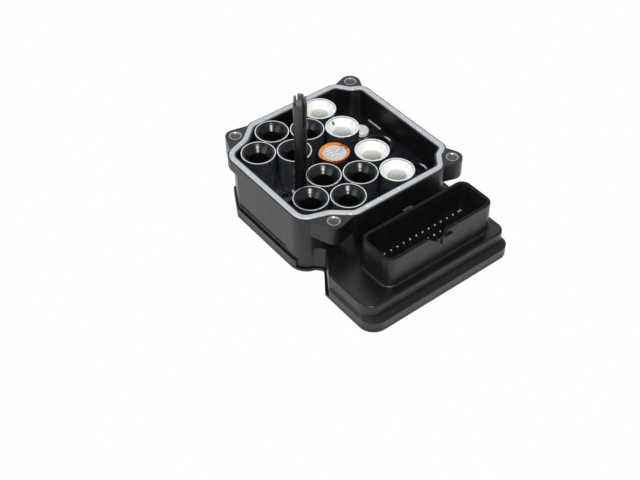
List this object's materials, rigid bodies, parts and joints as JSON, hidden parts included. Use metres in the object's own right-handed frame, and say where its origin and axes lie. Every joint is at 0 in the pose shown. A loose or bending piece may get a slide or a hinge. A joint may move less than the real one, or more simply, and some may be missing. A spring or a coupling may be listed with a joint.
{
  "type": "abs brake module",
  "caption": "Anti-lock brake control unit: black moulded housing with an eared, sealed rim, an open chamber of valve coils, a tall motor post and a shrouded pin connector",
  "frame": {"origin": "Middle of the mounting ears' bolt holes, in the plane of the bush tops, which is the face that meets the hydraulic block.", "axes": "+Z points out of the open coil chamber, towards the hydraulic block. +X runs along the long side of the connector. +Y runs from the connector to the back of the unit."},
  "size_m": [0.0976, 0.1336, 0.0783],
  "materials": {
    "housing": "fine moulded grain",
    "cover": "fine moulded grain",
    "seal": "smooth",
    "bush": "satin",
    "coil_can": "gloss, bare metal at the rim",
    "bobbin_dark": "gloss",
    "bobbin_pale": "satin",
    "winding": "enamelled wire",
    "tinned_lead": "satin",
    "pin": "satin",
    "board": "solder mask",
    "capacitor": "satin",
    "sleeve": "shrunk film, wrinkled at its fold",
    "bung": "smooth",
    "post": "fine moulded grain",
    "contact": "tinned",
    "socket": "gloss",
    "clip": "bright",
    "vent": "satin"
  },
  "bodies": {
    "root": {"housing": "housing", "base_cover": "cover", "rim_gasket": "seal", "bush_1": "bush", "bush_2": "bush", "bush_3": "bush", "bush_4": "bush", "coil_can_1": "coil_can", "coil_bobbin_1": "bobbin_dark", "coil_winding_1": "winding", "coil_can_2": "coil_can", "coil_bobbin_2": "bobbin_dark", "coil_winding_2": "winding", "coil_can_3": "coil_can", "coil_bobbin_3": "bobbin_dark", "coil_winding_3": "winding", "coil_can_4": "coil_can", "coil_bobbin_4": "bobbin_dark", "coil_winding_4": "winding", "coil_can_5": "coil_can", "coil_bobbin_5": "bobbin_dark", "coil_winding_5": "winding", "coil_can_6": "coil_can", "coil_bobbin_6": "bobbin_dark", "coil_winding_6": "winding", "coil_can_7": "coil_can", "coil_bobbin_7": "bobbin_dark", "coil_winding_7": "winding", "coil_can_8": "coil_can", "coil_bobbin_8": "bobbin_dark", "coil_winding_8": "winding", "coil_can_9": "coil_can", "coil_bobbin_9": "bobbin_pale", "coil_winding_9": "winding", "coil_can_10": "coil_can", "coil_bobbin_10": "bobbin_pale", "coil_winding_10": "winding", "coil_can_11": "coil_can", "coil_bobbin_11": "bobbin_pale", "coil_winding_11": "winding", "coil_can_12": "coil_can", "coil_bobbin_12": "bobbin_pale", "coil_winding_12": "winding", "coil_leads": "tinned_lead", "circuit_board": "board", "signal_pins": "pin", "power_blades": "pin", "capacitor_can": "capacitor", "capacitor_sleeve": "sleeve", "capacitor_bung": "bung", "capacitor_leads": "tinned_lead", "motor_post": "post", "motor_contact": "contact", "sensor_socket": "socket", "sensor_clips": "clip", "vent_cap": "vent"}
  },
  "joints": []
}
